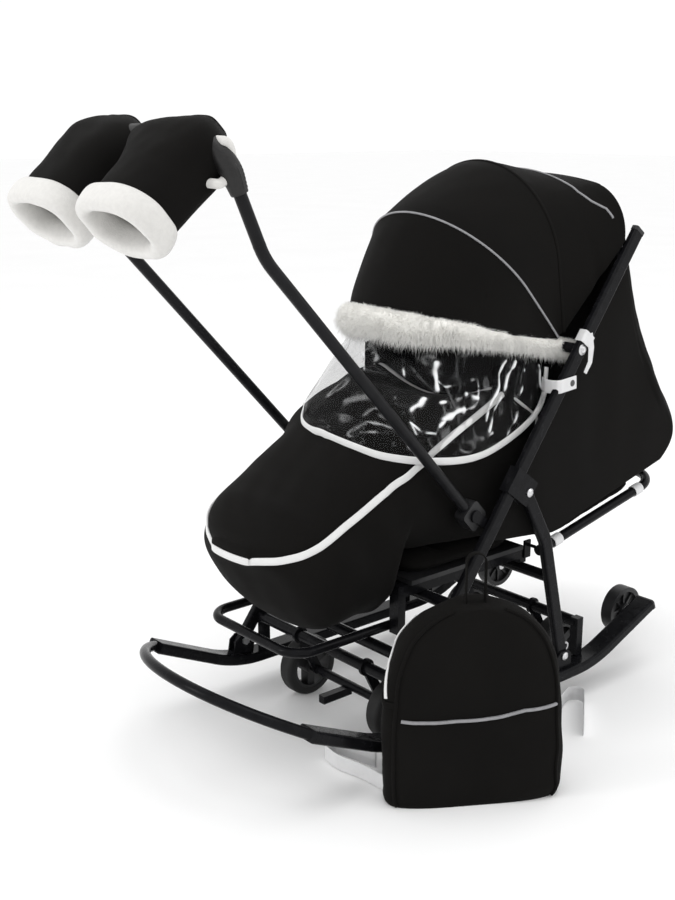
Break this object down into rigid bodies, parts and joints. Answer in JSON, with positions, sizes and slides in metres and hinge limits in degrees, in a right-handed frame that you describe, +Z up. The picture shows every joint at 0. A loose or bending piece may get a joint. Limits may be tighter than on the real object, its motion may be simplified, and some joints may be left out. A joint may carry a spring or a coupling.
{
  "type": "sled stroller",
  "caption": "Sled stroller on upturned runners with swing-down wheels, reversible handle with hand muffs, folding hood, rain window, footmuff, reclining bed and a bag.",
  "frame": {"origin": "on the floor, on the centre plane, midway between the two wheel axles with the wheels lowered", "axes": "+Z up; -Y towards the foot end; +X towards the child's left, the side nearest the camera"},
  "size_m": [0.6482, 1.1882, 1.0262],
  "materials": {
    "frame_paint": "gloss black powder coat",
    "black_plastic": "matte moulded black",
    "tyre": "smooth soft black",
    "zinc": "pale zinc plate",
    "black_cloth": "matte coated polyester",
    "white_tape": "woven white tape",
    "fur": "long ivory pile",
    "clear_film": "clear soft film",
    "grip_leather": "stitched black leatherette"
  },
  "bodies": {
    "chassis": {"runner_left": "frame_paint", "runner_right": "frame_paint", "front_arch": "frame_paint", "runner_caps": "black_plastic", "main_tube_left": "frame_paint", "main_tube_right": "frame_paint", "tube_caps": "black_plastic", "foot_brackets": "frame_paint", "rear_leg_left": "frame_paint", "rear_leg_right": "frame_paint", "leg_brackets": "frame_paint", "saddles": "frame_paint", "front_cross_tube": "frame_paint", "rear_cross_tube": "frame_paint", "lower_cross_tube": "frame_paint", "seat_bar": "frame_paint", "leg_crossbar": "frame_paint", "seat_frame": "frame_paint", "seat_board": "black_plastic", "seat_pad": "black_cloth", "handle_brackets": "frame_paint", "rear_arch": "frame_paint", "hood_pins": "zinc", "hood_straps": "white_tape", "frame_bolts": "zinc", "tail_axles": "zinc", "footmuff": "black_cloth", "hood_cover": "black_cloth", "bed_curtain": "black_cloth"},
    "handle": {"handle_tube": "frame_paint", "handle_housings": "black_plastic", "handle_grip": "grip_leather", "mitten_left": "black_cloth", "mitten_right": "black_cloth"},
    "front_bow": {"hood_front_bow": "frame_paint", "fur_trim": "fur", "window": "clear_film"},
    "mid_bow": {"hood_mid_bow": "frame_paint"},
    "top_bow": {"hood_top_bow": "frame_paint"},
    "backrest": {"backrest_frame": "frame_paint", "backrest_pad": "black_cloth", "bed_straps": "white_tape"},
    "footrest": {"footrest_frame": "frame_paint"},
    "front_swing": {"front_axle": "frame_paint", "front_axle_nuts": "zinc"},
    "rear_swing": {"rear_axle": "frame_paint", "rear_axle_nuts": "zinc"},
    "front_left_wheel": {"front_wheel_left": "black_plastic", "front_tyre_left": "tyre"},
    "front_right_wheel": {"front_wheel_right": "black_plastic", "front_tyre_right": "tyre"},
    "rear_left_wheel": {"rear_wheel_left": "black_plastic", "rear_tyre_left": "tyre"},
    "rear_right_wheel": {"rear_wheel_right": "black_plastic", "rear_tyre_right": "tyre"},
    "tail_left_wheel": {"tail_wheel_left": "black_plastic"},
    "tail_right_wheel": {"tail_wheel_right": "black_plastic"},
    "bag": {"bag_body": "black_cloth", "bag_straps": "white_tape", "bag_loop": "black_cloth"}
  },
  "joints": [
    {"name": "handle_flip", "type": "hinge", "parent": "chassis", "child": "handle", "pos_m": [0, -0.11357, 0.39693], "axis": [1, 0, 0], "range_deg": [-75, 0]},
    {"name": "hood_fold", "type": "hinge", "parent": "chassis", "child": "front_bow", "pos_m": [0, 0.12009, 0.64683], "axis": [1, 0, 0], "range_deg": [-70, 0], "deforming": ["hood_cover", "window"]},
    {"name": "hood_fold_mid", "type": "hinge", "parent": "chassis", "child": "mid_bow", "pos_m": [0, 0.12009, 0.64683], "axis": [1, 0, 0], "range_deg": [-48, 0]},
    {"name": "hood_fold_top", "type": "hinge", "parent": "chassis", "child": "top_bow", "pos_m": [0, 0.12009, 0.64683], "axis": [1, 0, 0], "range_deg": [-22, 0]},
    {"name": "backrest_recline", "type": "hinge", "parent": "chassis", "child": "backrest", "pos_m": [0, 0.078, 0.29196], "axis": [1, 0, 0], "range_deg": [0, 43], "deforming": ["bed_curtain"]},
    {"name": "footrest_tilt", "type": "hinge", "parent": "chassis", "child": "footrest", "pos_m": [0, -0.226, 0.21196], "axis": [1, 0, 0], "range_deg": [0, 25]},
    {"name": "front_axle_swing", "type": "hinge", "parent": "chassis", "child": "front_swing", "pos_m": [0, -0.251, 0.133], "axis": [1, 0, 0], "range_deg": [-100, 0]},
    {"name": "rear_axle_swing", "type": "hinge", "parent": "chassis", "child": "rear_swing", "pos_m": [0, 0.171, 0.133], "axis": [1, 0, 0], "range_deg": [-100, 0]},
    {"name": "front_left_spin", "type": "hinge", "parent": "front_swing", "child": "front_left_wheel", "pos_m": [0.117, -0.211, 0.055], "axis": [1, 0, 0], "continuous": true},
    {"name": "front_right_spin", "type": "hinge", "parent": "front_swing", "child": "front_right_wheel", "pos_m": [-0.117, -0.211, 0.055], "axis": [1, 0, 0], "continuous": true},
    {"name": "rear_left_spin", "type": "hinge", "parent": "rear_swing", "child": "rear_left_wheel", "pos_m": [0.117, 0.211, 0.055], "axis": [1, 0, 0], "continuous": true},
    {"name": "rear_right_spin", "type": "hinge", "parent": "rear_swing", "child": "rear_right_wheel", "pos_m": [-0.117, 0.211, 0.055], "axis": [1, 0, 0], "continuous": true},
    {"name": "tail_left_spin", "type": "hinge", "parent": "chassis", "child": "tail_left_wheel", "pos_m": [0.1627, 0.34597, 0.10358], "axis": [1, 0, 0], "continuous": true},
    {"name": "tail_right_spin", "type": "hinge", "parent": "chassis", "child": "tail_right_wheel", "pos_m": [-0.1627, 0.34597, 0.10358], "axis": [1, 0, 0], "continuous": true},
    {"name": "bag_away", "type": "slide", "parent": "chassis", "child": "bag", "axis": [1, 0, 0], "range_m": [0, 0.3]}
  ],
  "couplings": [
    {"joint": "hood_fold_mid", "follows": "hood_fold", "ratio": 0.68571},
    {"joint": "hood_fold_top", "follows": "hood_fold", "ratio": 0.31429}
  ]
}
